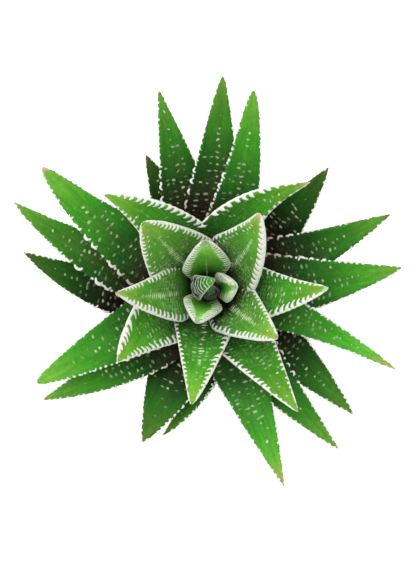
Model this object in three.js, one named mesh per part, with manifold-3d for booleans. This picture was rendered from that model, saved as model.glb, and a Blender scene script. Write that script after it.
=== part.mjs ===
// A small potted haworthia: a rosette of fleshy, pointed leaves on a short stem,
// rooted in potting mix in a plain clay pot. Millimetres, +Z up, the origin under
// the middle of the pot, on the surface it stands on.

import * as THREE from "three";
import { mergeVertices } from "three/addons/utils/BufferGeometryUtils.js";
import Module from "manifold-3d";

// Driving dimensions.
const GAP = 0.3; // clearance between neighbouring pieces

const POT_HEIGHT = 56;
const POT_FOOT_RADIUS = 22;
const POT_BODY_TOP_RADIUS = 27.6; // just under the collar
const POT_RIM_RADIUS = 31;
const COLLAR_HEIGHT = 14;
const COLLAR_TAPER = 0.8; // the collar is this much narrower at its lower edge
const POT_WALL = 3.7;
const POT_FLOOR = 5;
const DRAIN_RADIUS = 4.75;

const SOIL_BELOW_RIM = 5.2;
const SOIL_MOUND = 0.9; // the mix is heaped up a little around the stem

const STEM_FOOT_RADIUS = 5.6; // the buried end
const STEM_BURIED = 8;
const STEM_RADIUS = 6.6; // under the lowest leaf
const STEM_TOP_RADIUS = 2.4;
const STEM_LENGTH = 33; // from the lowest leaf to the heart of the rosette

const CROWN_ABOVE_SOIL = 2.2; // the lowest leaf leaves the stem this far above the mix
const ROSETTE_SHIFT = [0.35, -2.05]; // the rosette leans this far off the pot's axis, x and y
const LEAF_FOOT_RADIUS = 3; // the leaves' centre lines start this far from the stem's axis
const LEAF_LIP = 0.35; // how far the upper face stands above the margins
const SMOOTHING = 0.06; // steps smaller than this are dropped where a leaf is fitted

// The leaves, lowest first. Angles in degrees, lengths in millimetres, in a frame whose
// origin is on the stem's axis where the lowest leaf leaves it.
//   turn: direction of the tip, anticlockwise from +X     reach, rise: where the tip is
//   seat: height of the foot on the stem                   spring: steepness at the foot
//   pull: how far the foot's direction carries, in lengths  sway: sideways bow, anticlockwise
//   roll: twist about its own axis, the anticlockwise margin up
//   width, depth: across the blade and through it at its widest
//   taper: a low number gives a long thin tip, a high one full shoulders
//   blunt: radius of the tip                                foot: turn of the foot from the tip's
//   cup: how far the margins stand up, as in a spoon; none where it's left out
const LEAF_COLUMNS =
  "name turn reach rise seat spring pull sway width roll taper blunt foot depth cup".split(" ");
const LEAF_ROWS = [
  ["outer_leaf_01", 115, 46, 12, 0.6, 24, 0.45, 0, 17, 0, 1.7, 0.4, 0, 3.6],
  ["outer_leaf_02", 253, 48.5, 10.5, 1, 20, 0.45, 14, 12, 25, 1.7, 0.4, 0, 3.2],
  ["outer_leaf_03", 45, 53, 15, 1.6, 24, 0.45, -5, 18, 0, 1.7, 0.4, 0, 4],
  ["outer_leaf_04", 169, 58.5, 14.5, 2.3, 20, 0.45, 12, 18, 0, 1.7, 0.4, 0, 3.8],
  ["outer_leaf_05", 247, 52, 15.5, 3, 25, 0.45, 2, 18, 8, 2.6, 0.6, 0, 3.8],
  ["outer_leaf_06", 319, 60, 13.5, 3.3, 22, 0.45, 3, 18, 0, 1.7, 0.4, 0, 3.8],
  ["outer_leaf_07", 104, 63, 19, 4.8, 24, 0.45, 0, 18.5, 3, 1.5, 0.3, 0, 4.2],
  ["outer_leaf_08", 156, 65, 25, 5.8, 29, 0.45, 10, 19, 8, 1.5, 0.3, 0, 4.4],
  ["outer_leaf_09", 22, 60.5, 19, 5.6, 22, 0.45, -3.2, 19, 0, 1.4, 0.5, 0, 4.2],
  ["outer_leaf_10", 214, 61, 23, 6.9, 29, 0.45, 9, 18, 5, 1.7, 0.4, 0, 4.2],
  ["outer_leaf_11", 309, 63.5, 20, 6.8, 26, 0.45, -4, 18, 5, 1.5, 0.4, 0, 4.2],
  ["outer_leaf_12", 86, 64, 28, 8, 32, 0.45, 0, 18, 3, 1.5, 0.9, 0, 4.4],
  ["outer_leaf_13", 209, 58.5, 31, 9.8, 33, 0.45, 0, 15.5, 6, 1.7, 1.6, 0, 4.4],
  ["outer_leaf_14", 6, 59, 26, 9, 26, 0.45, -4, 20, 8, 1.7, 0.5, 0, 4.2],
  ["outer_leaf_15", 144, 61, 33, 11, 34, 0.45, 7, 19, 10, 1.3, 1.6, 0, 4.6],
  ["outer_leaf_16", 77, 60, 35, 11.2, 33, 0.45, -5, 15, 10, 1.3, 1.4, 0, 4.4],
  ["outer_leaf_17", 291, 64, 28, 10.2, 27, 0.45, 0, 19, 0, 1.5, 0.3, 0, 4.4],
  ["outer_leaf_18", 336.5, 61, 33, 12.2, 33, 0.45, 5, 19, 8, 0.75, 0.4, 0, 4.4],
  ["middle_leaf_1", 138, 40.5, 43, 13, 42, 0.45, -9.5, 20, -15, 1.5, 0.5, 0, 4.6],
  ["middle_leaf_2", 46, 42.5, 44, 14.5, 44, 0.45, 15, 20.5, 15, 1.1, 0.4, 0, 4.6],
  ["middle_leaf_3", 306, 44.5, 41, 14.4, 39, 0.45, 0, 20, -10, 1.4, 0.4, 0, 4.4],
  ["middle_leaf_4", 219, 33.5, 46, 15.5, 40, 0.45, -5, 20.5, -18, 1.7, 0.6, 0, 4.4],
  ["middle_leaf_5", 0, 34.5, 47, 16.9, 46, 0.45, -4, 20.5, -16, 1.25, 0.5, 0, 4.4],
  ["middle_leaf_6", 262, 33.5, 48, 18.6, 46, 0.45, 1, 18, 8, 1.3, 0.7, 0, 4.4],
  ["inner_leaf_1", 135, 26, 56, 19.5, 50, 0.45, 0, 19.5, -5, 1.8, 0.9, 0, 4.2],
  ["inner_leaf_2", 55, 25.5, 55, 20.5, 50, 0.45, -5, 20, -25, 1.5, 0.7, 0, 4.2],
  ["inner_leaf_3", 183, 25.6, 54, 22, 48, 0.45, 3, 18.5, 6, 1.1, 0.4, 0, 4],
  ["inner_leaf_4", 324, 24.2, 54, 23, 48, 0.45, -1, 17, -4, 1.4, 0.5, 0, 4],
  ["heart_leaf_1", 93.5, 13.5, 50, 26, 61, 0.45, 0, 12.2, 5, 1.8, 0.9, 0, 3.2, 1.0],
  ["heart_leaf_2", 252, 10.3, 48, 27, 70, 0.45, 0, 10.6, 3, 1.9, 0.3, 0, 3.0, 1.3],
  ["heart_leaf_3", 2, 7.7, 47, 28, 72, 0.45, 0, 8.0, 17, 1.9, 0.4, 0, 2.6, 1.2],
  ["bud_leaf_1", 300, -1.2, 45, 29.5, 110, 0.45, 0, 3.4, 0, 1.6, 0.6, 0, 2.1],
  ["bud_leaf_2", 228, -3.0, 47, 30.5, 90, 0.72, -1.2, 6.2, -38, 1.6, 0.6, -40, 2.1],
];

// Where the sections of a leaf are, from its foot (0) to its tip (1), and the points
// round each one: across the blade (-1 to 1), and the face it is on (1 upper, -1 lower).
const STATIONS = [0, 0.08, 0.16, 0.25, 0.35, 0.45, 0.55, 0.65, 0.75, 0.84, 0.91, 0.96, 0.988];
const SECTION = [
  [-1, 0], [-0.9, 1], [-0.5, 1], [0, 1], [0.5, 1], [0.9, 1],
  [1, 0], [0.82, -1], [0.42, -1], [0, -1], [-0.42, -1], [-0.82, -1],
];

const wasm = await Module();
wasm.setup();

const rad = THREE.MathUtils.degToRad;
const smooth = (a, b, x) => THREE.MathUtils.smoothstep(x, a, b);

function solid(geometry) {
  const bare = new THREE.BufferGeometry().setAttribute("position", geometry.getAttribute("position"));
  if (geometry.index) bare.setIndex(geometry.index);
  const merged = mergeVertices(bare, 1e-4);
  return new wasm.Manifold(
    new wasm.Mesh({
      numProp: 3,
      vertProperties: new Float32Array(merged.attributes.position.array),
      triVerts: new Uint32Array(merged.index.array),
    }),
  );
}

function geometry(manifold) {
  const mesh = manifold.getMesh();
  const made = new THREE.BufferGeometry();
  made.setAttribute("position", new THREE.BufferAttribute(mesh.vertProperties, 3));
  made.setIndex(new THREE.BufferAttribute(mesh.triVerts, 1));
  const flat = made.toNonIndexed();
  flat.computeVertexNormals();
  return flat;
}

// A ring-shaped or solid turned piece from its half profile, [radius, height] pairs.
function turned(profile, sides = 64) {
  const points = profile.map(([r, z]) => new THREE.Vector2(r, z));
  const lathe = new THREE.LatheGeometry(points, sides);
  lathe.rotateX(Math.PI / 2);
  return lathe;
}

// ---- Leaves ----

// The centre line: it leaves the stem at the spring angle, bows sideways and ends at the tip.
function centreLine(leaf) {
  const turn = rad(leaf.turn);
  const footTurn = rad(leaf.turn + leaf.foot);
  const spring = rad(leaf.spring);
  const foot = new THREE.Vector3(
    LEAF_FOOT_RADIUS * Math.cos(footTurn), LEAF_FOOT_RADIUS * Math.sin(footTurn), leaf.seat);
  const tip = new THREE.Vector3(leaf.reach * Math.cos(turn), leaf.reach * Math.sin(turn), leaf.rise);
  const pull = leaf.pull * foot.distanceTo(tip);
  const bend = foot.clone().add(new THREE.Vector3(
    pull * Math.cos(turn) * Math.cos(spring) - leaf.sway * Math.sin(turn),
    pull * Math.sin(turn) * Math.cos(spring) + leaf.sway * Math.cos(turn),
    pull * Math.sin(spring)));
  return new THREE.QuadraticBezierCurve3(foot, bend, tip);
}

function halfWidth(leaf, s) {
  const blade = 1.15 * (1 - s ** leaf.taper) * (0.55 + 0.45 * smooth(0, 0.3, s));
  return (leaf.width / 2) * blade + leaf.blunt * Math.sqrt(Math.max(0, 1 - s ** 20));
}

function thickness(leaf, s) {
  return leaf.depth * (0.5 + 0.5 * smooth(0, 0.35, s)) * (1 - s ** 3) ** 0.75;
}

// Height of a face above the line between the two margins, at u across the blade.
function faceHeight(leaf, s, u, face, grow) {
  const bulge = Math.max(0, 1 - u * u);
  if (face > 0) {
    const lip = Math.min(LEAF_LIP, 0.2 * halfWidth(leaf, s));
    return lip * bulge ** 0.3 + grow;
  }
  const keel = 0.35 * smooth(0.3, 0.8, s);
  return -thickness(leaf, s) * ((1 - keel) * bulge ** 0.6 + keel * (1 - Math.abs(u))) - grow;
}

// How far the whole section stands above the centre line because the leaf is cupped.
function cupHeight(leaf, s, u) {
  return (leaf.cup ?? 0) * (1 - smooth(0.6, 1, s)) * (u * u - 0.35);
}

// One leaf as a closed loft; grow makes it larger all round by that much.
function leafSolid(leaf, grow = 0) {
  const line = centreLine(leaf);
  const turn = rad(leaf.turn);
  const side = new THREE.Vector3(-Math.sin(turn), Math.cos(turn), 0);
  const count = SECTION.length;
  const vertices = [];
  const faces = [];
  for (const s of STATIONS) {
    const middle = line.getPoint(s);
    const along = line.getTangent(s).normalize();
    if (s === 0) middle.addScaledVector(along, -grow);
    const across = side.clone().addScaledVector(along, -side.dot(along)).normalize();
    across.applyAxisAngle(along, rad(leaf.roll));
    const up = along.clone().cross(across);
    for (const [u, face] of SECTION) {
      const height = face ? faceHeight(leaf, s, u, face, grow) : 0;
      const point = middle.clone()
        .addScaledVector(across, u * (halfWidth(leaf, s) + grow))
        .addScaledVector(up, height + cupHeight(leaf, s, u));
      vertices.push(...point);
    }
  }
  const foot = vertices.length / 3;
  vertices.push(...line.getPoint(0).addScaledVector(line.getTangent(0).normalize(), -grow));
  const tip = foot + 1;
  vertices.push(...line.getPoint(1).addScaledVector(line.getTangent(1).normalize(), grow));
  for (let i = 0; i < count; i++) {
    const j = (i + 1) % count;
    faces.push(foot, i, j);
    for (let ring = 0; ring < STATIONS.length - 1; ring++) {
      const a = ring * count;
      const b = a + count;
      faces.push(a + i, b + i, b + j, a + i, b + j, a + j);
    }
    const last = (STATIONS.length - 1) * count;
    faces.push(last + i, tip, last + j);
  }
  const loft = new THREE.BufferGeometry();
  loft.setAttribute("position", new THREE.Float32BufferAttribute(vertices, 3));
  loft.setIndex(faces);
  return solid(loft);
}

function largestBody(manifold) {
  return manifold.decompose().reduce((best, body) => (body.volume() > best.volume() ? body : best));
}

// ---- Stem ----

// The short stem that the leaves sheathe: a stub in the mix, then a cone to the heart.
const stemProfile = (grow) => [
  [0, -CROWN_ABOVE_SOIL - STEM_BURIED - grow],
  [STEM_FOOT_RADIUS - 0.8 + grow, -CROWN_ABOVE_SOIL - STEM_BURIED - grow],
  [STEM_FOOT_RADIUS + grow, -CROWN_ABOVE_SOIL - STEM_BURIED + 0.8],
  [STEM_FOOT_RADIUS + grow, SOIL_MOUND - CROWN_ABOVE_SOIL],
  [STEM_RADIUS + grow, 0],
  [STEM_TOP_RADIUS + grow, STEM_LENGTH - 1],
  [STEM_TOP_RADIUS - 0.8, STEM_LENGTH + grow],
  [0, STEM_LENGTH + grow],
];

const rosette = new THREE.Group();
const STEM_MATERIAL = new THREE.MeshStandardMaterial({ color: 0x8a9a55, roughness: 0.8 });
const stem = new THREE.Mesh(turned(stemProfile(0), 32), STEM_MATERIAL);
stem.name = "stem";
rosette.add(stem);

// Leaves are fitted from the heart outwards: each gives way to those above it and to the stem.
const LEAF_MATERIALS = {
  outer: new THREE.MeshStandardMaterial({ color: 0x2f6b22, roughness: 0.55 }),
  middle: new THREE.MeshStandardMaterial({ color: 0x4a9130, roughness: 0.55 }),
  inner: new THREE.MeshStandardMaterial({ color: 0x5fa53c, roughness: 0.55 }),
  heart: new THREE.MeshStandardMaterial({ color: 0x5fa53c, roughness: 0.55 }),
  bud: new THREE.MeshStandardMaterial({ color: 0x4f9a38, roughness: 0.55 }),
};
const leaves = LEAF_ROWS.map((row) =>
  Object.fromEntries(row.map((value, i) => [LEAF_COLUMNS[i], value])));
const stemRoom = solid(turned(stemProfile(GAP), 32));
const rooms = [];
for (const leaf of leaves.slice().reverse()) {
  const cut = wasm.Manifold.union([stemRoom, ...rooms]);
  const body = largestBody(leafSolid(leaf).subtract(cut).simplify(SMOOTHING));
  rooms.push(leafSolid(leaf, GAP + 0.05));
  const mesh = new THREE.Mesh(geometry(body), LEAF_MATERIALS[leaf.name.split("_")[0]]);
  mesh.name = leaf.name;
  rosette.add(mesh);
}

// ---- Pot ----

// Inner radius of the pot's wall at a height, a straight taper from floor to rim.
const innerFoot = POT_FOOT_RADIUS - POT_WALL + 0.6;
const innerRim = POT_RIM_RADIUS - POT_WALL;
const innerRadius = (z) => innerFoot + ((innerRim - innerFoot) * (z - POT_FLOOR)) / (POT_HEIGHT - POT_FLOOR);
const collarFoot = POT_HEIGHT - COLLAR_HEIGHT;
const potProfile = [
  [DRAIN_RADIUS, 0],
  [POT_FOOT_RADIUS - 0.8, 0],
  [POT_FOOT_RADIUS, 0.8],
  [POT_BODY_TOP_RADIUS, collarFoot],
  [POT_RIM_RADIUS - COLLAR_TAPER - 0.5, collarFoot],
  [POT_RIM_RADIUS - COLLAR_TAPER, collarFoot + 0.6],
  [POT_RIM_RADIUS, POT_HEIGHT - 1.4],
  [POT_RIM_RADIUS - 0.4, POT_HEIGHT - 0.4],
  [POT_RIM_RADIUS - 1.4, POT_HEIGHT],
  [innerRim + 1, POT_HEIGHT],
  [innerRim + 0.2, POT_HEIGHT - 0.5],
  [innerRadius(POT_HEIGHT - 1.5), POT_HEIGHT - 1.5],
  [innerRadius(POT_FLOOR + 1.5), POT_FLOOR + 1.5],
  [innerFoot - 1.2, POT_FLOOR],
  [DRAIN_RADIUS, POT_FLOOR],
  [DRAIN_RADIUS, 0],
];
const pot = new THREE.Mesh(
  turned(potProfile),
  new THREE.MeshStandardMaterial({ color: 0xb5653f, roughness: 0.9 }),
);
pot.name = "pot";

// ---- Potting mix ----

// The mix fills the pot to below the rim and closes round the stem's foot.
const soilTop = POT_HEIGHT - SOIL_BELOW_RIM;
const crownHeight = soilTop + CROWN_ABOVE_SOIL;
const soilProfile = [
  [0, POT_FLOOR + GAP],
  [innerFoot - 1.2 - GAP, POT_FLOOR + GAP],
  [innerRadius(POT_FLOOR + 2) - GAP, POT_FLOOR + 2],
  [innerRadius(soilTop - 0.8) - GAP, soilTop - 0.8],
  [innerRadius(soilTop) - 1.4, soilTop - 0.2],
  [17, soilTop + SOIL_MOUND * 0.6],
  [10, soilTop + SOIL_MOUND],
  [0, soilTop + SOIL_MOUND],
];
const stemSocket = solid(turned(stemProfile(GAP), 32)).translate([...ROSETTE_SHIFT, crownHeight]);
const soil = new THREE.Mesh(
  geometry(solid(turned(soilProfile, 48)).subtract(stemSocket)),
  new THREE.MeshStandardMaterial({ color: 0x3a2c22, roughness: 1 }),
);
soil.name = "potting_mix";

rosette.position.set(...ROSETTE_SHIFT, crownHeight);

const plant = new THREE.Group();
plant.add(pot, soil, rosette);
export default plant;
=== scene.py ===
import math
import bmesh
import bpy
import numpy as np
from types import SimpleNamespace
from mathutils import Matrix, Vector, noise


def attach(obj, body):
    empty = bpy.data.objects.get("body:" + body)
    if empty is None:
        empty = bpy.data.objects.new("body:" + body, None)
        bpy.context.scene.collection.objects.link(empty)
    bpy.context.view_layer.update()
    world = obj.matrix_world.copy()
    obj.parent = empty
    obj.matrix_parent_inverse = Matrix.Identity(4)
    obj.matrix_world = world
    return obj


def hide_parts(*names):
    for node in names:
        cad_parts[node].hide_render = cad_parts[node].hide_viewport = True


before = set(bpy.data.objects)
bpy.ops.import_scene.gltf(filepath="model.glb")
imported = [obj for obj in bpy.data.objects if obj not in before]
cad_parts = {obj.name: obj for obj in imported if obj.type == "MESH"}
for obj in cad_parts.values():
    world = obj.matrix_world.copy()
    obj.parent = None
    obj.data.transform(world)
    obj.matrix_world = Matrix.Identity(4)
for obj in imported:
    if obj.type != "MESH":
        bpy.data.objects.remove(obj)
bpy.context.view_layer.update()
MM = 0.001

# ---- Camera ----
# The plant is seen from straight above, from 40 cm over the middle of the rosette, so
# the heart is in the centre and the pot is hidden under the leaves.
ROSETTE_SHIFT = (0.35 * MM, -2.05 * MM)  # how far the rosette leans off the pot's axis
CROWN_HEIGHT = 53 * MM  # where the lowest leaf leaves the stem
ROSETTE_MIDDLE = 30 * MM  # about half way up the leaves, from the crown
EYE_DISTANCE = 400 * MM
PHOTO_HEIGHT = 576 * 0.30 * MM  # 576 pixels, each 0.30 mm at the middle of the rosette
SENSOR = 36
eye = bpy.data.objects.new("camera", bpy.data.cameras.new("camera"))
eye.location = (*ROSETTE_SHIFT, CROWN_HEIGHT + ROSETTE_MIDDLE + EYE_DISTANCE)
eye.data.sensor_width = SENSOR
eye.data.lens = SENSOR * EYE_DISTANCE / PHOTO_HEIGHT
eye.data.clip_start = 0.01
eye.data.clip_end = 20
bpy.context.scene.collection.objects.link(eye)
bpy.context.scene.camera = eye
bpy.context.scene.view_settings.view_transform = "Standard"

# ---- Floor and light ----
# A plain white studio sweep under one large round soft box, which hangs a little to the
# upper left of the plant, in an even white surround.


def new_material(name, roughness, specular):
    """A new material, its node tree and its shader."""
    material = bpy.data.materials.new(name)
    material.use_nodes = True
    shader = material.node_tree.nodes["Principled BSDF"]
    shader.inputs["Roughness"].default_value = roughness
    shader.inputs["Specular IOR Level"].default_value = specular
    return material, material.node_tree, shader


floor_shape = bmesh.new()
bmesh.ops.create_grid(floor_shape, x_segments=1, y_segments=1, size=3)
floor = bpy.data.objects.new("floor", bpy.data.meshes.new("floor"))
floor_shape.to_mesh(floor.data)
floor_shape.free()
bpy.context.scene.collection.objects.link(floor)
paper, _, sheet = new_material("studio paper", roughness=0.9, specular=0.1)
sheet.inputs["Base Color"].default_value = (0.93, 0.93, 0.93, 1)
sheet.inputs["Emission Color"].default_value = (1, 1, 1, 1)
sheet.inputs["Emission Strength"].default_value = 0.12  # keeps it pure white round the plant
floor.data.materials.append(paper)

soft_box = bpy.data.objects.new("soft box", bpy.data.lights.new("soft box", "AREA"))
soft_box.data.shape = "DISK"
soft_box.data.size = 1.2
soft_box.data.energy = 10.5
soft_box.location = (-0.30, 0.35, 1.10)
aim = Vector((0, 0, 0.08)) - soft_box.location  # at the middle of the rosette
soft_box.rotation_euler = aim.to_track_quat("-Z", "Y").to_euler()
bpy.context.scene.collection.objects.link(soft_box)
surround = bpy.data.worlds.new("surround")
surround.use_nodes = True
surround.node_tree.nodes["Background"].inputs["Color"].default_value = (1, 1, 1, 1)
surround.node_tree.nodes["Background"].inputs["Strength"].default_value = 1.1
bpy.context.scene.world = surround

# ---- Pot ----
# A plain flowerpot of unglazed red clay with a thick collar, thrown and fired, with a
# drain hole in its floor. Lime from the water has left a pale bloom on it.
POT_HEIGHT, POT_FLOOR, COLLAR = 56, 5, 14  # heights, in millimetres as all that follow
POT_RIM, POT_NECK, POT_FOOT = 31, 27.6, 22  # outer radii, the neck's under the collar
POT_WALL = 3.7
COLLAR_TAPER = 0.8  # the collar is this much narrower at its lower edge
HEEL = 0.6  # the wall is this much thinner at the foot
DRAIN = 4.75  # radius of the hole
POT_SIDES = 144
RING_DEPTH, RINGS = 0.05, 2.1  # the throwing rings: half their depth, and radians to a mm
DARK_CLAY, RED_CLAY = (0.33, 0.105, 0.045, 1), (0.56, 0.215, 0.105, 1)
LIME_BLOOM = (0.66, 0.55, 0.46, 1)
neck_height = POT_HEIGHT - COLLAR
inner_foot = POT_FOOT - POT_WALL + HEEL
inner_rim = POT_RIM - POT_WALL


def plug(tree, socket, value):
    """Links an output to a socket, or sets the socket to a plain value."""
    if isinstance(value, bpy.types.NodeSocket):
        tree.links.new(value, socket)
    else:
        socket.default_value = value


def add(tree, kind, operation=None, **values):
    """A new node, its sockets named with _ for a space."""
    node = tree.nodes.new("ShaderNode" + kind)
    if operation:
        node.operation = operation
    for name, value in values.items():
        plug(tree, node.inputs[name.replace("_", " ")], value)
    return node


def maths(tree, operation, *values, kind="Math"):
    """The result of a sum on the values, in their order."""
    node = add(tree, kind, operation)
    for socket, value in zip(node.inputs, values):
        plug(tree, socket, value)
    return node.outputs[0]


def blend(tree, share, first, second):
    """The colour that lies that share of the way from the first to the second."""
    node = tree.nodes.new("ShaderNodeMix")
    node.data_type = "RGBA"
    for name, value in (("Factor", share), ("A", first), ("B", second)):
        plug(tree, node.inputs[name], value)
    return node.outputs["Result"]


def link_piece(name, shape, *materials):
    """Turns a bmesh drawn in millimetres into a smooth shaded object at the origin."""
    bmesh.ops.scale(shape, vec=(MM, MM, MM), verts=shape.verts)
    mesh = bpy.data.meshes.new(name)
    shape.to_mesh(mesh)
    shape.free()
    mesh.shade_smooth()
    for material in materials:
        mesh.materials.append(material)
    piece = bpy.data.objects.new(name, mesh)
    bpy.context.scene.collection.objects.link(piece)
    return piece


def spin_profile(profile, steps):
    """A closed turned shape from a closed half profile of (radius, height) pairs."""
    shape = bmesh.new()
    ring = [shape.verts.new((r, 0, z)) for r, z in profile]
    edges = [shape.edges.new((a, b)) for a, b in zip(ring, ring[1:] + ring[:1])]
    bmesh.ops.spin(shape, geom=ring + edges, cent=(0, 0, 0), axis=(0, 0, 1),
                   angle=math.tau, steps=steps, use_merge=True)
    bmesh.ops.remove_doubles(shape, verts=shape.verts, dist=0.001)
    bmesh.ops.recalc_face_normals(shape, faces=shape.faces)
    return shape


def rounded(corners, steps=4, stride=1.6):
    """A closed profile from (radius, height, rounding) corners, its long runs divided."""
    points = []
    for i, corner in enumerate(corners):
        here = Vector(corner[:2])
        before = Vector(corners[i - 1][:2])
        after = Vector(corners[(i + 1) % len(corners)][:2])
        r = min(corner[2], (here - before).length * 0.45, (after - here).length * 0.45)
        start = here + (before - here).normalized() * r
        end = here + (after - here).normalized() * r
        for k in range(steps + 1):
            t = k / steps
            points.append(start * (1 - t) ** 2 + here * 2 * t * (1 - t) + end * t * t)
    run = []
    for a, b in zip(points, points[1:] + points[:1]):
        pieces = max(1, round((b - a).length / stride))
        run += [a.lerp(b, k / pieces) for k in range(pieces)]
    return [tuple(p) for p in run]


pot_shape = spin_profile(rounded([
    (DRAIN, 0, 0.5),
    (POT_FOOT, 0, 1.0),
    (POT_NECK, neck_height, 0.9),
    (POT_RIM - COLLAR_TAPER, neck_height, 0.9),
    (POT_RIM, POT_HEIGHT, 1.5),
    (inner_rim, POT_HEIGHT, 1.2),
    (inner_foot, POT_FLOOR, 2.0),
    (DRAIN, POT_FLOOR, 0.5),
]), POT_SIDES)
for vert in pot_shape.verts:  # the wall isn't quite round, and its rim isn't quite level
    spot = vert.co.copy()
    out = Vector((spot.x, spot.y, 0)).normalized()
    thrown = RING_DEPTH * math.sin(spot.z * RINGS + 0.6 * noise.noise(spot * 0.05))
    uneven = 0.16 * noise.noise(spot * 0.045) + 0.07 * noise.noise(spot * 0.30)
    vert.co += out * (thrown + uneven)
    if spot.z > 0.5:
        vert.co.z += 0.10 * noise.noise(spot * 0.06 + Vector((7, 3, 1)))

clay, nodes, skin = new_material("fired clay", roughness=0.86, specular=0.25)
place = add(nodes, "TexCoord").outputs["Object"]
mottle = add(nodes, "TexNoise", Vector=place, Scale=55, Detail=8, Roughness=0.62).outputs["Fac"]
tones = add(nodes, "MapRange", Value=mottle, From_Min=0.30, From_Max=0.72)
fired = blend(nodes, tones.outputs["Result"], DARK_CLAY, RED_CLAY)
height = add(nodes, "SeparateXYZ", Vector=place).outputs["Z"]  # lime gathers towards the foot
low = add(nodes, "MapRange", Value=height, From_Min=0.030, From_Max=0.0, To_Min=0.16, To_Max=0.91)
lime = add(nodes, "TexNoise", Vector=place, Scale=95, Detail=10, Roughness=0.7, Distortion=0.6)
patch = add(nodes, "MapRange", Value=lime.outputs["Fac"], From_Min=0.50, From_Max=0.70)
share = maths(nodes, "MULTIPLY", patch.outputs["Result"], low.outputs["Result"])
nodes.links.new(blend(nodes, share, fired, LIME_BLOOM), skin.inputs["Base Color"])
grit = add(nodes, "TexNoise", Vector=place, Scale=900, Detail=4)
rough = add(nodes, "Bump", Height=grit.outputs["Fac"], Strength=0.35, Distance=0.0004)
nodes.links.new(rough.outputs["Normal"], skin.inputs["Normal"])

pot = link_piece("clay_pot", pot_shape, clay)
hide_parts("pot")
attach(pot, "root")

# ---- Potting mix ----
# Dark peat and bark with pale grit, filled to 5 mm under the rim and heaped a little
# round the stem. It is loose and only lies in the pot.
MIX_TOP = POT_HEIGHT - 5.2
MIX_GAP = 0.15  # between the mix and the pot's wall
MIX_SIDES = 220
HEAP, HEAP_REACH = 0.9, 20  # how high it is heaped at the stem, and how far out that goes
CRUMBS, GRIT_SHARE = 560, 0.16
wall_slope = (inner_rim - inner_foot) / (POT_HEIGHT - POT_FLOOR)
mix_rim = inner_foot + wall_slope * (MIX_TOP - POT_FLOOR) - MIX_GAP


def heaped(far):
    """How much higher the mix stands, that far from the pot's axis."""
    return HEAP * max(0, 1 - far / HEAP_REACH)


buried = [(0.4, 6), (8, 6), (16, 6.5), (17.5, 9), (20, 22), (22.5, 38),
          (mix_rim - 0.4, MIX_TOP - 4), (mix_rim, MIX_TOP - 0.6)]
surface = [(r, MIX_TOP) for r in np.arange(mix_rim - 0.3, 0.4, -0.55)]
mix_shape = spin_profile(buried + surface, MIX_SIDES)
for vert in mix_shape.verts:
    spot = vert.co.copy()
    if spot.z > MIX_TOP - 0.1:
        far = math.hypot(spot.x, spot.y)
        lumps = (0.55 * noise.noise(spot * 0.55) + 0.40 * noise.noise(spot * 1.5)
                 + 0.22 * noise.noise(spot * 3.4))
        vert.co.z += heaped(far) + min(1, (mix_rim - far) / 2.5) * lumps
seed = np.random.default_rng(7)
crumbs = bmesh.new()
for _ in range(CRUMBS):
    far = mix_rim * math.sqrt(seed.uniform(0.10, 0.93))
    turn = seed.uniform(0, math.tau)
    size = seed.uniform(0.28, 0.85)
    gritty = seed.random() < GRIT_SHARE
    crumb = bmesh.ops.create_icosphere(crumbs, subdivisions=1, radius=size)["verts"]
    stretch = Vector((seed.uniform(0.8, 1.7), seed.uniform(0.7, 1.1), seed.uniform(0.5, 0.9)))
    if gritty:  # grit is rounder than bark
        stretch = Vector((1, seed.uniform(0.8, 1), seed.uniform(0.7, 1)))
    spin = Matrix.Rotation(seed.uniform(0, math.tau), 3, "Z")
    spin = spin @ Matrix.Rotation(seed.uniform(-0.5, 0.5), 3, "X")
    lift = MIX_TOP + heaped(far) + size * 0.15
    centre = Vector((far * math.cos(turn), far * math.sin(turn), lift))
    for vert in crumb:
        knock = 1 + 0.25 * noise.noise(vert.co * 2 + centre)
        vert.co = centre + spin @ Vector(v * s for v, s in zip(vert.co * knock, stretch))
        for face in vert.link_faces:
            face.material_index = int(gritty)


def earth(name, dark, light, scale, dimple):
    """Crumbly ground: two browns broken up by noise, with a bumpy surface."""
    material, nodes, skin = new_material(name, roughness=0.95, specular=0.2)
    where = add(nodes, "TexCoord").outputs["Object"]
    grain = add(nodes, "TexNoise", Vector=where, Scale=scale, Detail=9, Roughness=0.7).outputs["Fac"]
    tones = add(nodes, "MapRange", Value=grain, From_Min=0.32, From_Max=0.70).outputs["Result"]
    nodes.links.new(blend(nodes, tones, (*dark, 1), (*light, 1)), skin.inputs["Base Color"])
    bumps = add(nodes, "Bump", Height=grain, Strength=0.8, Distance=dimple)
    nodes.links.new(bumps.outputs["Normal"], skin.inputs["Normal"])
    return material


peat = earth("peat", (0.012, 0.007, 0.004), (0.085, 0.045, 0.022), 700, 0.0006)
bark = earth("bark chips", (0.035, 0.016, 0.008), (0.16, 0.085, 0.042), 1100, 0.0003)
pumice = earth("pale grit", (0.42, 0.39, 0.33), (0.72, 0.69, 0.62), 1500, 0.0003)
mix = link_piece("mix", mix_shape, peat)
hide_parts("potting_mix")
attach(mix, "root")
chips = link_piece("bark_and_grit", crumbs, bark, pumice)
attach(chips, "root")

# ---- Stem ----
# The short fleshy core that the leaves clasp. Almost nothing of it shows between
# their feet, so the turned shape stays and only gets a near-black skin: its own dull,
# scarred bark, darkened with painted shade of the deep gap between the leaf feet.
stem_bark_and_shade = earth("old stem and painted shade", (0.010, 0.009, 0.004), (0.060, 0.055, 0.020), 420, 0.0004)
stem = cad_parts["stem"]
for slot_of_stem in stem.material_slots:
    slot_of_stem.material = stem_bark_and_shade
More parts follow.
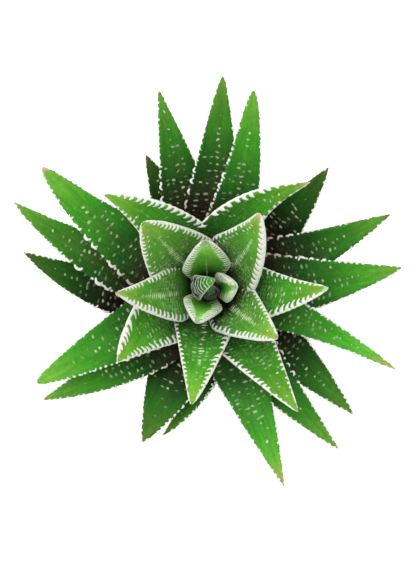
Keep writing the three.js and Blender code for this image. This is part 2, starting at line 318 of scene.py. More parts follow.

# ---- Outer leaves ----
# Eighteen stiff fleshy leaves, flat above and rounded below, that taper to a point. Their
# feet are brown, and painted shade makes them near black where they sit deep among the
# others. White teeth stand along both margins, pale dots in rows on the face, and white
# bands across the back.

# The leaves, lowest first, in millimetres and degrees round the stem's axis.
#   turn, reach, rise     direction, distance and height of the tip
#   seat, spring          height of the foot, and how steeply the leaf leaves the stem
#   pull, sway            how far that steepness carries, in lengths, and the sideways bow
#   roll                  twist about its own axis, the anticlockwise margin up
#   width, depth          across the blade and through it
#   taper, blunt          a low taper draws the tip out; blunt is the tip's radius
#   foot                  turn of the foot from the tip's
#   tone, end             how light the skin is, which holds painted shade on the lower
#                         leaves besides their age, and the tint of the tip
#   cup                   how far the margins stand up, as in a spoon; none where it's left out
LEAF_COLUMNS = (
    "name turn reach rise seat spring pull sway width roll taper blunt foot depth tone end cup".split())
OUTER_LEAVES = [
    ("outer_leaf_01", 115, 46, 12, 0.6, 24, 0.45, 0, 17, 0, 1.7, 0.4, 0, 3.6, 0.22, "brown"),
    ("outer_leaf_02", 253, 48.5, 10.5, 1, 20, 0.45, 14, 12, 25, 1.7, 0.4, 0, 3.2, 0.60, "brown"),
    ("outer_leaf_03", 45, 53, 15, 1.6, 24, 0.45, -5, 18, 0, 1.7, 0.4, 0, 4, 0.28, "brown"),
    ("outer_leaf_04", 169, 58.5, 14.5, 2.3, 20, 0.45, 12, 18, 0, 1.7, 0.4, 0, 3.8, 0.32, "brown"),
    ("outer_leaf_05", 247, 52, 15.5, 3, 25, 0.45, 2, 18, 8, 2.6, 0.6, 0, 3.8, 0.48, "green"),
    ("outer_leaf_06", 319, 60, 13.5, 3.3, 22, 0.45, 3, 18, 0, 1.7, 0.4, 0, 3.8, 0.58, "green"),
    ("outer_leaf_07", 104, 63, 19, 4.8, 24, 0.45, 0, 18.5, 3, 1.5, 0.3, 0, 4.2, 0.68, "brown"),
    ("outer_leaf_08", 156, 65, 25, 5.8, 29, 0.45, 10, 19, 8, 1.5, 0.3, 0, 4.4, 0.88, "pale"),
    ("outer_leaf_09", 22, 60.5, 19, 5.6, 22, 0.45, -3.2, 19, 0, 1.4, 0.5, 0, 4.2, 0.68, "brown"),
    ("outer_leaf_10", 214, 61, 23, 6.9, 29, 0.45, 9, 18, 5, 1.7, 0.4, 0, 4.2, 0.92, "red"),
    ("outer_leaf_11", 309, 63.5, 20, 6.8, 26, 0.45, -4, 18, 5, 1.5, 0.4, 0, 4.2, 0.8, "green"),
    ("outer_leaf_12", 86, 64, 28, 8, 32, 0.45, 0, 18, 3, 1.5, 0.9, 0, 4.4, 0.65, "green"),
    ("outer_leaf_13", 209, 58.5, 31, 9.8, 33, 0.45, 0, 15.5, 6, 1.7, 1.6, 0, 4.4, 1.12, "green"),
    ("outer_leaf_14", 6, 59, 26, 9, 26, 0.45, -4, 20, 8, 1.7, 0.5, 0, 4.2, 0.92, "green"),
    ("outer_leaf_15", 144, 61, 33, 11, 34, 0.45, 7, 19, 10, 1.3, 1.6, 0, 4.6, 1.06, "beige"),
    ("outer_leaf_16", 77, 60, 35, 11.2, 33, 0.45, -5, 15, 10, 1.3, 1.4, 0, 4.4, 0.95, "green"),
    ("outer_leaf_17", 291, 64, 28, 10.2, 27, 0.45, 0, 19, 0, 1.5, 0.3, 0, 4.4, 1.15, "olive"),
    ("outer_leaf_18", 336.5, 61, 33, 12.2, 33, 0.45, 5, 19, 8, 0.75, 0.4, 0, 4.4, 1.3, "olive"),
]
LEAF_FOOT = 3  # the centre lines start this far from the stem's axis
LIP = 0.35  # how far the upper face stands above the margins
LANES = 3  # lanes of dots on each side of the midline
NUB_PACE, BEAD_PACE, BAR_PACE = 1.7, 2.1, 0.95  # spacing of the nubs, the beads and the bars
BAND_BEAD = 0.95  # length of the beads that run together in the bands
RIDGE, DOT_RISE = 0.16, 0.18  # height of the marks, at a pitch of 1 mm, and of the dots
WAVES = 0.05  # how uneven the skin itself is

# The look of the old leaves, in millimetres, with places from the foot (0) to the tip (1).
#   pitch, teeth          spacing of the teeth, or of a young leaf's hooks, and size of the teeth
#   bands, girth          how many bands on the back go to a tooth, and how wide they are
#   dots, rows            how likely the dots on the face are, and the spacing of their rows
#   flecks, bare, fine    how strong the fine flecks are, where they end, and how fine they are
#   shoulder, drop, dish  width of the round edge, how far the face lies below it, and its hollow
#   greens, stops         the skin's colours from foot to tip, and their places; the dark
#                         first colours are partly painted shade where the feet sit deep
#   gloom                 how much further the dark foot, painted shade with the leaf's age,
#                         reaches on a dark leaf
#   rust, bloom           brown along the middle, and frost at the edge and on the back
#   lime, dim             how white the marks are, and up to where they are dull, with age
#                         and with painted shade at the deep feet
#   along, around         divisions of the blade
OLD_LOOK = dict(
    pitch=3.6, teeth=0.72, bands=2, girth=1.0, dots=1.0, rows=1.9, flecks=0.10, bare=0.78, fine=1.0,
    shoulder=0.9, drop=0.55, dish=0.5,
    # The dark brown first colour is the feet's age together with painted shade between the leaves.
    greens=((0.020, 0.014, 0.008), (0.011, 0.063, 0.008), (0.037, 0.215, 0.013), (0.115, 0.290, 0.030)),
    stops=(0.36, 0.52, 0.78, 1.0), gloom=0.30, rust=0.1, bloom=0.0, lime=1.0, dim=0.36,
    along=290, around=88, slot="leaf_old",
)
OUTER_ODDITIES = {
    "outer_leaf_08": dict(teeth=1.05, rust=0.65),
    "outer_leaf_12": dict(rust=0.25),
    "outer_leaf_15": dict(teeth=1.15, rust=0.2),
}
TIP_TINTS = {  # how far down each reaches, and its colour
    "green": (1, (0.100, 0.180, 0.030)),
    "brown": (2.6, (0.130, 0.050, 0.020)),
    "red": (2.6, (0.420, 0.080, 0.030)),
    "pink": (3.4, (0.600, 0.300, 0.220)),
    "beige": (2.2, (0.430, 0.320, 0.190)),
    "olive": (9, (0.240, 0.230, 0.055)),
    "pale": (2.6, (0.420, 0.430, 0.330)),
}
CHALK, DULL_SHADED_CHALK, DOT = (0.67, 0.66, 0.61), (0.34, 0.25, 0.19), (0.56, 0.66, 0.40)
RUST, FROST = (0.075, 0.070, 0.020), (0.25, 0.29, 0.20)


def smooth(low, high, x):
    """Rises gently from 0 at low to 1 at high, or falls where low is the higher one."""
    t = np.clip((x - low) / (high - low), 0, 1)
    return t * t * (3 - 2 * t)


def chance(a, b, salt):
    """A repeatable number from 0 to 1 for each pair of whole numbers and salt."""
    return np.modf(np.abs(np.sin(a * 12.9898 + b * 78.233 + salt * 3.7) * 43758.5453))[0]


def wander(x, y, salt):
    """A slow, smooth drift between about -1 and 1."""
    return (np.sin(x * 0.83 + y * 0.31 + salt) + np.sin(x * 0.37 - y * 0.52 + salt * 2.3)
            + 0.5 * np.sin(x * 1.7 + y * 0.11 + salt * 0.7)) / 2.5


def tinted(colour, tint, share):
    """Colours that lie that share of the way to the tint, point by point."""
    share = share[:, None]
    return np.asarray(colour) * (1 - share) + np.asarray(tint) * share


def stroke(v, w, start, end, radius):
    """How far inside a round-ended stroke each point lies."""
    along, over = end[0] - start[0], end[1] - start[1]
    t = np.clip(((v - start[0]) * along + (w - start[1]) * over) / (along ** 2 + over ** 2), 0, 1)
    return radius - np.hypot(v - start[0] - t * along, w - start[1] - t * over)


def speck(x, y, wide, tall):
    """How far inside an oval each point lies."""
    return (1 - np.hypot(x / wide, y / tall)) * np.minimum(wide, tall)


balls = {}


def ball(along, around):
    """A unit ball as a mesh, with its points' places along (0 to 1) and round the axis."""
    if (along, around) not in balls:
        shape = bmesh.new()
        bmesh.ops.create_uvsphere(shape, u_segments=around, v_segments=along, radius=1)
        mesh = bpy.data.meshes.new("ball")
        shape.to_mesh(mesh)
        shape.free()
        spots = np.empty(len(mesh.vertices) * 3)
        mesh.vertices.foreach_get("co", spots)
        spots = spots.reshape(-1, 3)
        v = 1 - np.arccos(np.clip(spots[:, 2], -1, 1)) / math.pi
        balls[along, around] = mesh, v, np.arctan2(spots[:, 1], spots[:, 0]) / math.pi
    return balls[along, around]


def spine(leaf):
    """Foot, bend and tip of the bowed centre line."""
    turn, spring = math.radians(leaf["turn"]), math.radians(leaf["spring"])
    foot_turn = math.radians(leaf["turn"] + leaf["foot"])
    foot = np.array([LEAF_FOOT * math.cos(foot_turn), LEAF_FOOT * math.sin(foot_turn), leaf["seat"]])
    tip = np.array([leaf["reach"] * math.cos(turn), leaf["reach"] * math.sin(turn), leaf["rise"]])
    pull = leaf["pull"] * np.linalg.norm(tip - foot)
    bend = foot + np.array([
        pull * math.cos(turn) * math.cos(spring) - leaf["sway"] * math.sin(turn),
        pull * math.sin(turn) * math.cos(spring) + leaf["sway"] * math.cos(turn),
        pull * math.sin(spring)])
    return foot, bend, tip


def blade(leaf, look):
    """The bare leaf, a ball drawn out along the spine, and where each of its points is:
    s from foot to tip, u across, on the upper face or not, half the width there, run from
    the foot, left to the tip, x from the midline, inwards from the margin, the side, and
    whether that is the meek side, which the leaf's roll turns down."""
    source, v, way_round = ball(look["along"], look["around"])
    mesh = source.copy()
    mesh.name = leaf["name"].replace("leaf", "blade")
    s = v * (1.42 - 0.42 * v)  # the rings lie closer together towards the tip
    part = 1 - np.abs(way_round)
    u = 0.6 * -np.cos(math.pi * part) + 0.4 * (2 * part - 1)  # and their points at the margins
    upper = way_round > 0

    # The centre line, and the directions ahead, across and up at each point.
    foot, bend, tip = spine(leaf)
    t = s[:, None]
    middle = (1 - t) ** 2 * foot + 2 * t * (1 - t) * bend + t * t * tip
    ahead = 2 * (1 - t) * (bend - foot) + 2 * t * (tip - bend)
    ahead /= np.linalg.norm(ahead, axis=1, keepdims=True)
    turn = math.radians(leaf["turn"])
    level = np.array([-math.sin(turn), math.cos(turn), 0])
    across = level - ahead * (ahead @ level)[:, None]
    across /= np.linalg.norm(across, axis=1, keepdims=True)
    roll = math.radians(leaf["roll"])
    across = across * math.cos(roll) + np.cross(ahead, across) * math.sin(roll)
    up = np.cross(ahead, across)

    # Lengths along it.
    steps = np.linspace(0, 1, 400)[:, None]
    line = (1 - steps) ** 2 * foot + 2 * steps * (1 - steps) * bend + steps ** 2 * tip
    runs = np.concatenate([[0], np.cumsum(np.linalg.norm(np.diff(line, axis=0), axis=1))])
    run = np.interp(s, steps[:, 0], runs)
    left = runs[-1] - run

    # The outline, and the heights of both faces.
    half = leaf["width"] / 2 * 1.15 * (1 - s ** leaf["taper"]) * (0.55 + 0.45 * smooth(0, 0.3, s))
    half = half + leaf["blunt"] * np.sqrt(np.maximum(0, 1 - s ** 20))
    thick = leaf["depth"] * (0.5 + 0.5 * smooth(0, 0.35, s)) * (1 - s ** 3) ** 0.75
    lip = np.minimum(LIP, 0.2 * half)
    shoulder = np.minimum(look["shoulder"], 0.5 * half) + 1e-6
    drop = np.minimum(look["drop"], 0.45 * thick)
    inwards = np.minimum(half * (1 - np.abs(u)), 0.9 * left + 0.02)
    e = np.clip(1 - inwards / shoulder, 0, 1)
    across_face = np.clip(np.abs(u) * half / (half - shoulder + 1e-6), 0, 1)
    dish = look["dish"] * (1 - across_face ** 2) * smooth(1.0, 0.6, s) * np.minimum(1, half / 5)
    top = lip - drop * (1 - np.sqrt(np.maximum(0, 1 - e * e))) - dish
    ridge = 0.35 * smooth(0.3, 0.8, s)
    bulge = np.maximum(0, 1 - u * u)
    back = lip - drop - (thick + lip - drop) * ((1 - ridge) * bulge ** 0.6 + ridge * (1 - np.abs(u)))
    cup = leaf.get("cup", 0) * smooth(1.0, 0.6, s) * (u * u - 0.35)
    points = middle + across * (u * half)[:, None] + up * (np.where(upper, top, back) + cup)[:, None]
    side = np.sign(u)
    return SimpleNamespace(
        mesh=mesh, points=points, outwards=across * side[:, None], s=s, u=u, upper=upper, half=half,
        run=run, left=left, x=u * half, inwards=inwards, side=side,
        meek=side * np.sign(leaf["roll"] + 0.01) < 0)


def paces(b, pitch, salt):
    """Which pace along its margin each point is in, and how far from the middle of it."""
    place = b.run / pitch + 0.13 * wander(b.x, b.run, salt)
    k = np.floor(place + 0.5)
    return k, (place - k + 0.22 * (chance(k, b.side, salt) - 0.5)) * pitch


def cups(b, look, salt):
    """The teeth of an old leaf: small white cups on the margin, open inwards, with the end
    next to the foot curled in, and nubs between them. Returns how far inside one each
    point is, and how far the margin swells out."""
    k, off = paces(b, look["pitch"], salt)
    low = smooth(0.92, 0.52, b.s)
    size = look["teeth"] * (0.75 + 0.45 * chance(k, b.side, salt + 4)) * np.where(b.meek, 0.60, 1.0)
    size = size * (0.30 + 0.70 * low)
    missing = np.where(b.meek, 0.35, 0.08) + 0.30 * (1 - low)
    there = chance(k, b.side, salt + 5) > missing
    v, w = off / size, np.where(b.upper, b.inwards, -0.9 * b.inwards) / size
    front = (1.00, 0.55 * chance(b.side, k, salt + 16))
    bottom, heel = (0.35, 0.05), (-0.60, 0.08)
    curl = (-1.05, 0.30 + 0.70 * chance(b.side, k, salt + 15))
    cup = np.maximum(stroke(v, w, front, bottom, 0.30), stroke(v, w, bottom, heel, 0.40))
    cup = np.maximum(cup, stroke(v, w, heel, curl, 0.30))
    swell = 0.42 * size * np.exp(-(v / 1.15) ** 2) * smooth(2.2, 0.0, b.inwards)
    k, off = paces(b, NUB_PACE, salt + 40)
    nub = speck(off, b.inwards - 0.05, 0.42, 0.20 + 0.20 * chance(b.side, k, salt + 41))
    nub = np.where(chance(k, b.side, salt + 42) < 0.62, nub, -1)
    return np.maximum(np.where(there, cup * size, -1), nub), np.where(there, swell, 0)


def comb(b, look, salt):
    """The edge of a young leaf: a thin white rim, blunt hooks that reach in from it and
    lean towards the tip, and beads in a row inside the meek margin."""
    uneven = (0.6 * wander(b.side * 4, b.run * 2.6, salt + 3)
              + 0.6 * wander(b.side * 7, b.run * 6.1, salt + 8))
    rim = look["rim"] * (1 + uneven) * np.where(b.meek, 0.75, 1)
    rim = rim * (0.1 + 0.9 * smooth(0.6, 3.5, b.left)) - b.inwards
    k, off = paces(b, look["pitch"], salt)
    reach = look["comb"] * np.where(b.meek, look["weak"], 1.0)
    reach = reach * (0.78 + 0.45 * chance(k, b.side, salt + 4)) * smooth(0.2, 4.0, b.left) + 1e-6
    reach = reach * np.minimum(1, b.half / 4.5)
    lean = look["slant"] * (0.10 + 0.35 * chance(b.side, k, salt + 5))
    lean = lean * b.inwards ** 2 / np.maximum(reach, 0.4)
    stout = look["stout"] * (1 + 0.35 * chance(k, b.side, salt + 6)) * look["pitch"]
    stout = stout * np.clip(1 - b.inwards / reach, 0, 1) ** 0.3
    hook = np.where(b.inwards < reach, stout - np.abs(off - lean), reach - b.inwards)
    hook = np.where(chance(k, b.side, salt + 9) < look["gaps"], -1, hook)
    k, off = paces(b, BEAD_PACE, salt + 2)
    bead = speck(b.inwards - 2.0 - 0.5 * chance(k, b.side, salt + 1), off, 0.42, 0.27)
    strung = b.meek & (chance(k, b.side, salt + 3) < look["beads"] * smooth(0.95, 0.85, b.s))
    return np.maximum(np.maximum(rim, hook), np.where(strung, bead, -1))


def dots(b, look, salt):
    """Pale dots in rows across the upper face, brightest half way up along the midline.
    Returns how far inside one each point is, and how bright that one is."""
    k, off = paces(b, look["rows"], salt + 20)
    lane = np.round(b.u * LANES)
    central = lane == 0
    x = b.x - lane / LANES * b.half + 0.9 * (chance(lane, k, salt + 7) - 0.5)
    y = off - 0.7 * (chance(k, lane, salt + 8) - 0.5)
    wide = 0.32 + 0.48 * chance(k, lane, salt + 9)
    tall = 0.22 + 0.18 * chance(lane, k, salt + 10)
    until = np.where(central, 0.95, 0.88 - 0.05 * np.abs(lane))
    likely = look["dots"] * np.where(central, 0.82, 0.62) * smooth(until, until - 0.30, b.s)
    there = (chance(k, lane, salt + 11) < likely) & (np.abs(lane) < LANES) & (b.inwards > 1.3)
    bright = (0.13 + 0.42 * chance(lane, k, salt + 12)) * smooth(0.18, 0.50, b.s)
    bright = bright * np.where(central, 1.25, 0.9)
    return np.where(there, speck(x, y, wide, tall), -1), bright


def ladder(b, look, salt):
    """What stands along the middle of a young leaf's face, and how bright it is: short pale
    bars, nearly run together, or on a heart leaf a short white keel."""
    k, off = paces(b, BAR_PACE, salt + 30)
    wide = (0.45 + 0.60 * chance(k, 3, salt + 17)) * smooth(0.85, 0.45, b.s) + 0.05
    tall = 0.24 + 0.12 * chance(k, 7, salt + 18)
    bar = speck(b.x + 0.35 * (chance(k, 5, salt + 14) - 0.5), off, wide, tall)
    likely = look["rungs"] * smooth(0.76, 0.62, b.s) * smooth(0.20, 0.28, b.s)
    bar = np.where((chance(k, 9, salt + 13) < likely) & (b.inwards > 1.2), bar, -1)
    bright = (0.45 + 0.45 * chance(k, 11, salt + 19)) * smooth(0.16, 0.30, b.s)
    keel = look["keel"] * smooth(0.50, 0.34, b.s) * (0.8 + 0.6 * wander(b.run * 3, 0, salt))
    keel = np.where((b.s < 0.5) & (look["keel"] > 0), keel - np.abs(b.x), -1)
    return np.maximum(bar, keel), np.where(keel > bar, 0.42, bright)


def bands(b, look, salt):
    """Bands across the back: beads that run together, with some missing."""
    pitch = look["pitch"] / look["bands"]
    place = b.run / pitch + 0.13 * look["bands"] * wander(b.x, b.run, salt)
    k = np.floor(place + 0.5)
    bead = b.x / BAND_BEAD + 0.5 * np.mod(k, 2)
    cell = np.floor(bead)
    girth = (0.24 + 0.20 * chance(k, cell, salt + 1)) * (pitch / 1.9) ** 0.7
    girth = look["girth"] * girth * (0.8 + 0.2 * np.cos((bead - cell - 0.5) * math.tau))
    girth = np.where(chance(cell, k, salt + 2) > 0.90, -0.4, girth)
    return girth * smooth(0.0, 3.0, b.left) - np.abs((place - k) * pitch + 0.16 * np.sin(bead * 2.1 + k))


def greens(b, leaf, look, salt):
    """Base colour of the skin: dark at the foot, partly with painted shade, light towards the tip, which
    may be tinted.
    """
    along = b.s + 0.02 * wander(b.u * 4, b.run, salt)
    # On a leaf of low tone the dark foot reaches further: painted shade, with the leaf's age.
    along = along - look["gloom"] * (0.9 - leaf["tone"]) * smooth(0.85, 0.45, b.s)
    channels = [np.interp(along, look["stops"], channel) for channel in zip(*look["greens"])]
    patch = 1 + 0.10 * wander(b.u * 5 + 3, b.run * 0.8, salt + 4)
    patch = patch + 0.05 * wander(b.u * 17, b.run * 2.1, salt + 8)
    # The tone scales the colour; on the lower leaves it is partly painted shade, besides their age.
    colour = np.stack(channels, axis=1) * (leaf["tone"] * patch)[:, None]
    colour[:, 0] *= 1 + 0.09 * wander(b.u * 3, b.run * 0.5, salt + 6)
    rust = look["rust"] * np.exp(-(b.x / 2.6) ** 2) * smooth(0.25, 0.45, b.s) * smooth(1.0, 0.6, b.s)
    colour = tinted(colour, RUST, rust * (0.6 + 0.4 * wander(b.x, b.run * 0.6, salt)))
    near_tip = smooth(3.0, 1.2, b.left + 0.2 * np.abs(b.x))
    frosted = np.where(b.upper, np.maximum(smooth(look["shoulder"], 0.0, b.inwards), near_tip), 1)
    colour = tinted(colour, FROST, look["bloom"] * frosted)
    colour = np.where(b.upper[:, None], colour, colour * 0.85 + 0.006)
    reach, tint = TIP_TINTS[leaf["end"]]
    ragged = b.left + 0.5 * wander(b.u * 6, b.run * 3, salt)
    return tinted(colour, tint, 0.85 * smooth(reach, 0.2 * reach, ragged))


SATIN, MATT = 0.45, 0.75  # roughness of the bare skin and of the chalk
FLECK = (0.17, 0.24, 0.11)  # what a fleck adds to the green
RAGGED, BLUR = 0.30, 0.07  # how far a mark's edge strays, and how soft it is, in millimetres
leaf_skin, nodes, skin = new_material("leaf skin", SATIN, specular=0.05)
skin.inputs["Subsurface Weight"].default_value = 0.06
skin.inputs["Subsurface Radius"].default_value = (0.35, 1.0, 0.12)
skin.inputs["Subsurface Scale"].default_value = 0.0006
stored = {name: add(nodes, "Attribute") for name in ("green", "chalk", "mark", "fleck", "run")}
for name, node in stored.items():
    node.attribute_name = "leaf_" + name
mark, fleck = stored["mark"].outputs["Fac"], stored["fleck"].outputs["Fac"]
run = stored["run"].outputs["Vector"]
place = add(nodes, "TexCoord").outputs["Object"]

# Faint streaks run lengthwise, and fine pores break up the green.
lengthwise = add(nodes, "Mapping", Vector=run, Scale=(1.1, 0.09, 1)).outputs["Vector"]
streak = add(nodes, "TexNoise", Vector=lengthwise, Scale=1, Detail=5, Roughness=0.6).outputs["Fac"]
pore = add(nodes, "TexNoise", Vector=place, Scale=900, Detail=5, Roughness=0.75).outputs["Fac"]
shade = add(nodes, "MapRange", Value=streak, From_Min=0.3, From_Max=0.7, To_Min=0.82, To_Max=1.18)
speckle = add(nodes, "MapRange", Value=pore, From_Min=0.3, From_Max=0.7, To_Min=0.80, To_Max=1.20)
both = maths(nodes, "MULTIPLY", shade.outputs["Result"], speckle.outputs["Result"])
green = add(nodes, "VectorMath", "SCALE", Vector=stored["green"].outputs["Color"], Scale=both)

# Pale flecks lie in bent rows across the face, the larger ones where they are strong.
rows = add(nodes, "Mapping", Vector=run, Scale=(0.60, 1.60, 1)).outputs["Vector"]
bend = add(nodes, "TexNoise", Vector=run, Scale=0.8, Detail=3).outputs["Color"]
bent = maths(nodes, "MULTIPLY_ADD", bend, (0.7, 0.7, 0), rows, kind="VectorMath")
cell = add(nodes, "TexVoronoi", Vector=bent, Scale=1, Randomness=0.85)
cell.voronoi_dimensions = "2D"
size = add(nodes, "SeparateColor", Color=cell.outputs["Color"]).outputs["Red"]
size = maths(nodes, "POWER", size, 1.5)
size = maths(nodes, "MULTIPLY", size, maths(nodes, "MULTIPLY_ADD", fleck, 0.28, 0.34))
near = maths(nodes, "SUBTRACT", size, cell.outputs["Distance"])
spot = add(nodes, "MapRange", Value=near, From_Min=-0.20, From_Max=0.12).outputs["Result"]
paler = add(nodes, "VectorMath", "SCALE", Vector=FLECK, Scale=maths(nodes, "MULTIPLY", spot, fleck))
flecked = maths(nodes, "ADD", green.outputs["Vector"], paler.outputs["Vector"], kind="VectorMath")

# The marks are of matt, slightly worn chalk with ragged edges.
crumb = add(nodes, "TexNoise", Vector=place, Scale=1300, Detail=3, Roughness=0.6).outputs["Fac"]
edge = maths(nodes, "ADD", mark, maths(nodes, "MULTIPLY_ADD", crumb, RAGGED, -RAGGED / 2))
inside = add(nodes, "MapRange", Value=edge, From_Min=-BLUR, From_Max=BLUR).outputs["Result"]
worn = add(nodes, "MapRange", Value=crumb, From_Min=0.3, From_Max=0.7, To_Min=0.84, To_Max=1.06)
chalk = add(nodes, "VectorMath", "SCALE", Vector=stored["chalk"].outputs["Color"],
            Scale=worn.outputs["Result"])
nodes.links.new(blend(nodes, inside, flecked, chalk.outputs["Vector"]), skin.inputs["Base Color"])
gloss = add(nodes, "MapRange", Value=inside, To_Min=SATIN, To_Max=MATT)
nodes.links.new(gloss.outputs["Result"], skin.inputs["Roughness"])
grain = add(nodes, "Bump", Height=crumb, Strength=0.25, Distance=0.00025)
nodes.links.new(grain.outputs["Normal"], skin.inputs["Normal"])


def keep(mesh, name, kind, field, values):
    """Stores a value for each point of a leaf, for its skin to read."""
    layer = mesh.attributes.new("leaf_" + name, kind, "POINT")
    layer.data.foreach_set(field, np.ascontiguousarray(values, dtype=np.float32).ravel())


def grow_leaf(leaf, look, salt):
    """Shapes a leaf with its raised marks, colours it and puts it on the plant."""
    b = blade(leaf, look)
    b.mesh.vertices.foreach_set("co", b.points.astype(np.float32).ravel())
    b.mesh.update()
    normals = np.empty(len(b.mesh.vertices) * 3, dtype=np.float32)
    b.mesh.vertex_normals.foreach_get("vector", normals)

    dot, bright = dots(b, look, salt)
    if "comb" in look:
        edge, swell = comb(b, look, salt), np.zeros_like(b.s)
        rung, pale = ladder(b, look, salt)
        bright = np.where(rung > dot, pale, bright)
        dot = np.maximum(dot, rung)
    else:
        edge, swell = cups(b, look, salt)
    rear = np.maximum(bands(b, look, salt), edge)
    mark = np.where(b.upper, np.maximum(edge, dot), rear)
    ridge = RIDGE * look["pitch"] ** 0.5
    on_face = DOT_RISE * smooth(-0.15, 0.25, dot) + ridge * smooth(-0.2, 0.3, edge)
    on_back = 1.1 * ridge * smooth(-0.2, 0.3, rear)
    proud = np.where(b.upper, on_face, on_back) + WAVES * wander(b.x * 0.9, b.run * 0.7, salt + 5)
    points = b.points + normals.reshape(-1, 3) * proud[:, None] + b.outwards * swell[:, None]
    points += (ROSETTE_SHIFT[0] / MM, ROSETTE_SHIFT[1] / MM, CROWN_HEIGHT / MM)
    b.mesh.vertices.foreach_set("co", (points * MM).astype(np.float32).ravel())

    green = greens(b, leaf, look, salt)
    dotted = b.upper & (dot > edge)
    # Marks near the foot dull towards brown: partly their age, partly painted shade of the deep feet.
    white = tinted(CHALK, DULL_SHADED_CHALK, smooth(look["dim"] + 0.22, look["dim"] - 0.05, b.s))
    white = np.where(dotted[:, None], DOT, white)
    white = tinted(green, white, np.where(dotted, bright, look["lime"]))
    flecks = look["flecks"] * smooth(look["bare"], look["bare"] - 0.30, b.s)
    flecks = flecks * smooth(0.14, 0.34, b.s) * smooth(0.8, 2.0, b.inwards) * b.upper
    grid = np.stack([look["fine"] * b.x, look["fine"] * b.run + 23 * salt, b.upper], axis=1)
    solid = np.ones((len(b.s), 1))
    keep(b.mesh, "green", "FLOAT_COLOR", "color", np.hstack([green, solid]))
    keep(b.mesh, "chalk", "FLOAT_COLOR", "color", np.hstack([white, solid]))
    keep(b.mesh, "mark", "FLOAT", "value", mark)
    keep(b.mesh, "fleck", "FLOAT", "value", flecks)
    keep(b.mesh, "run", "FLOAT_VECTOR", "vector", grid)
    b.mesh.update()
    b.mesh.shade_smooth()
    b.mesh.materials.append(leaf_skin)
    piece = bpy.data.objects.new(b.mesh.name, b.mesh)
    bpy.context.scene.collection.objects.link(piece)
    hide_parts(leaf["name"])
    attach(piece, "root")


def grow_leaves(rows, look, oddities, salt):
    """Makes a group of leaves, some with a look of their own. A leaf's salt is a number
    that makes its pattern of marks differ from the others'."""
    for number, row in enumerate(rows):
        leaf = dict(zip(LEAF_COLUMNS, row))
        grow_leaf(leaf, dict(look, **oddities.get(leaf["name"], {})), 1.37 * number + salt)


grow_leaves(OUTER_LEAVES, OLD_LOOK, OUTER_ODDITIES, 0.5)

# ---- Middle leaves ----
# The six leaves half way up, shorter and steeper, of a fresh green. A thin white rim
# runs round each, with hooks that reach in over the face.
MIDDLE_LEAVES = [
    ("middle_leaf_1", 138, 40.5, 43, 13, 42, 0.45, -9.5, 20, -15, 1.5, 0.5, 0, 4.6, 1.15, "green"),
    ("middle_leaf_2", 46, 42.5, 44, 14.5, 44, 0.45, 15, 20.5, 15, 1.1, 0.4, 0, 4.6, 0.9, "pink"),
    ("middle_leaf_3", 306, 44.5, 41, 14.4, 39, 0.45, 0, 20, -10, 1.4, 0.4, 0, 4.4, 0.85, "green"),
    ("middle_leaf_4", 219, 33.5, 46, 15.5, 40, 0.45, -5, 20.5, -18, 1.7, 0.6, 0, 4.4, 1.15, "green"),
    ("middle_leaf_5", 0, 34.5, 47, 16.9, 46, 0.45, -4, 20.5, -16, 1.25, 0.5, 0, 4.4, 0.95, "pale"),
    ("middle_leaf_6", 262, 33.5, 48, 18.6, 46, 0.45, 1, 18, 8, 1.3, 0.7, 0, 4.4, 1.1, "green"),
]

# What the young leaves have besides.
#   rim                   width of the thin white rim
#   comb, stout, slant    how far the hooks reach in, half their thickness in pitches, their lean
#   gaps, weak            share of the hooks missing, and size of those on the meek margin
#   beads, rungs          how likely beads are inside the meek margin, and bars up the middle
#   keel                  half the width of the white keel
MIDDLE_LOOK = dict(
    OLD_LOOK, pitch=1.95, bands=1, rim=0.24, comb=2.0, stout=0.25, slant=1.0, gaps=0.07, weak=0.6,
    beads=0.25, rungs=0.0, keel=0.0, dots=0.8, rows=1.6, flecks=0.45, fine=1.3,
    shoulder=1.0, drop=0.8, dish=0.9,
    # The near-black first colour is partly painted shade of the deep feet.
    greens=((0.010, 0.025, 0.007), (0.022, 0.115, 0.011), (0.050, 0.245, 0.016), (0.150, 0.320, 0.032)),
    stops=(0.22, 0.42, 0.68, 1.0), gloom=0.0, rust=0.0, bloom=0.05, dim=0.10,
    along=280, around=96, slot="leaf",
)
MIDDLE_ODDITIES = {
    "middle_leaf_1": dict(dots=0.5, flecks=0.25),
    "middle_leaf_2": dict(pitch=2.5, comb=1.5, rim=0.20, dots=0.35, flecks=0.20),
    "middle_leaf_3": dict(pitch=1.6, comb=1.2, weak=0.8),
    "middle_leaf_4": dict(comb=2.6, stout=0.29, weak=0.8),
    "middle_leaf_6": dict(pitch=1.7, comb=1.5, flecks=0.30, rungs=0.5),
}
grow_leaves(MIDDLE_LEAVES, MIDDLE_LOOK, MIDDLE_ODDITIES, 31.5)

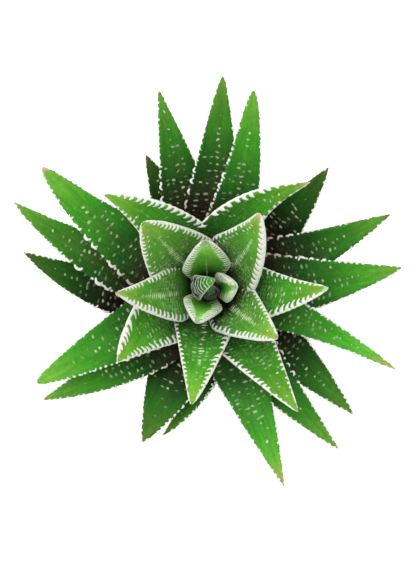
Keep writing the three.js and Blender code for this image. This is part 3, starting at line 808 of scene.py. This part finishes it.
# ---- Inner leaves ----
# Four pale, upright leaves round the heart, with broad shoulders on which the bands of
# the back come over the edge as a close comb.
INNER_LEAVES = [
    ("inner_leaf_1", 135, 26, 56, 19.5, 50, 0.45, 0, 19.5, -5, 1.8, 0.9, 0, 4.2, 1.0, "green"),
    ("inner_leaf_2", 55, 25.5, 55, 20.5, 50, 0.45, -5, 20, -25, 1.5, 0.7, 0, 4.2, 1.05, "pink"),
    ("inner_leaf_3", 183, 25.6, 54, 22, 48, 0.45, 3, 18.5, 6, 1.1, 0.4, 0, 4, 1.0, "beige"),
    ("inner_leaf_4", 324, 24.2, 54, 23, 48, 0.45, -1, 17, -4, 1.4, 0.5, 0, 4, 1.0, "green"),
]
INNER_LOOK = dict(
    MIDDLE_LOOK, pitch=1.75, rim=0.28, comb=1.7, slant=0.5, weak=0.5, beads=0.75, rungs=1.0,
    dots=0.3, rows=1.3, flecks=1.0, bare=0.62, fine=1.6, shoulder=1.6, drop=1.1, dish=1.1,
    # The near-black first colour is painted shade where the feet sit deep round the heart.
    greens=((0.006, 0.015, 0.005), (0.060, 0.190, 0.026), (0.100, 0.310, 0.033), (0.230, 0.370, 0.055)),
    stops=(0.22, 0.39, 0.68, 1.0), bloom=0.15, lime=0.95, along=250, around=104, slot="leaf_young",
)
INNER_ODDITIES = {
    "inner_leaf_1": dict(weak=0.65),
    "inner_leaf_2": dict(pitch=2.0, stout=0.38, comb=2.0, slant=0.2),
    "inner_leaf_3": dict(weak=0.85, beads=0.25, stops=(0.08, 0.24, 0.68, 1.0)),
}
grow_leaves(INNER_LEAVES, INNER_LOOK, INNER_ODDITIES, 43.5)

# ---- Heart leaves ----
# The three youngest open leaves stand up round the growing point. They are hollow like
# the bowl of a spoon, with broad frosted shoulders that white bands come over.
HEART_LEAVES = [
    ("heart_leaf_1", 93.5, 13.5, 50, 26, 61, 0.45, 0, 12.2, 5, 1.8, 0.9, 0, 3.2, 0.95, "green", 1.0),
    ("heart_leaf_2", 252, 10.3, 48, 27, 70, 0.45, 0, 10.6, 3, 1.9, 0.3, 0, 3.0, 1.2, "green", 1.3),
    ("heart_leaf_3", 2, 7.7, 47, 28, 72, 0.45, 0, 8.0, 17, 1.9, 0.4, 0, 2.6, 1.3, "green", 1.2),
]
HEART_LOOK = dict(
    INNER_LOOK, pitch=1.45, rim=0.15, comb=2.2, stout=0.19, gaps=0.0, weak=0.9, beads=0.0, rungs=0.0,
    dots=0.0, flecks=0.0, shoulder=2.0, drop=1.5, dish=0.8,
    # The near-black first colour is painted shade down at the growing point.
    greens=((0.010, 0.030, 0.008), (0.110, 0.400, 0.036), (0.240, 0.620, 0.090), (0.380, 0.600, 0.180)),
    stops=(0.05, 0.32, 0.72, 1.0), bloom=0.82, lime=1.0, along=200,
)
HEART_ODDITIES = {
    "heart_leaf_1": dict(keel=0.28),
    "heart_leaf_2": dict(comb=3.0, shoulder=2.4),
    "heart_leaf_3": dict(comb=3.2, shoulder=2.4, pitch=1.6, stout=0.17, bloom=0.60, lime=0.95),
}
grow_leaves(HEART_LEAVES, HEART_LOOK, HEART_ODDITIES, 51.5)

# ---- Bud leaves ----
# The last two leaves, still folded over the growing point like a claw, back upwards,
# with close bands on a dark green skin.
BUD_LEAVES = [
    ("bud_leaf_1", 300, -1.2, 45, 29.5, 110, 0.45, 0, 3.4, 0, 1.6, 0.6, 0, 2.1, 0.55, "green"),
    ("bud_leaf_2", 228, -3.0, 47, 30.5, 90, 0.72, -1.2, 6.2, -38, 1.6, 0.6, -40, 2.1, 0.75, "green"),
]
BUD_LOOK = dict(
    HEART_LOOK, pitch=1.15, girth=0.78, rim=0.1, comb=0.5, shoulder=0.5, drop=0.4, dish=0.2,
    # The near-black foot colour is painted shade of the dark cavity under the claw.
    greens=((0.003, 0.010, 0.003), (0.009, 0.058, 0.006), (0.038, 0.240, 0.014), (0.100, 0.380, 0.036)),
    stops=(0.30, 0.55, 0.80, 1.0), bloom=0.0, along=150, around=88,
)
BUD_ODDITIES = {"bud_leaf_1": dict(lime=0.24), "bud_leaf_2": dict(lime=0.60)}
grow_leaves(BUD_LEAVES, BUD_LOOK, BUD_ODDITIES, 56.5)
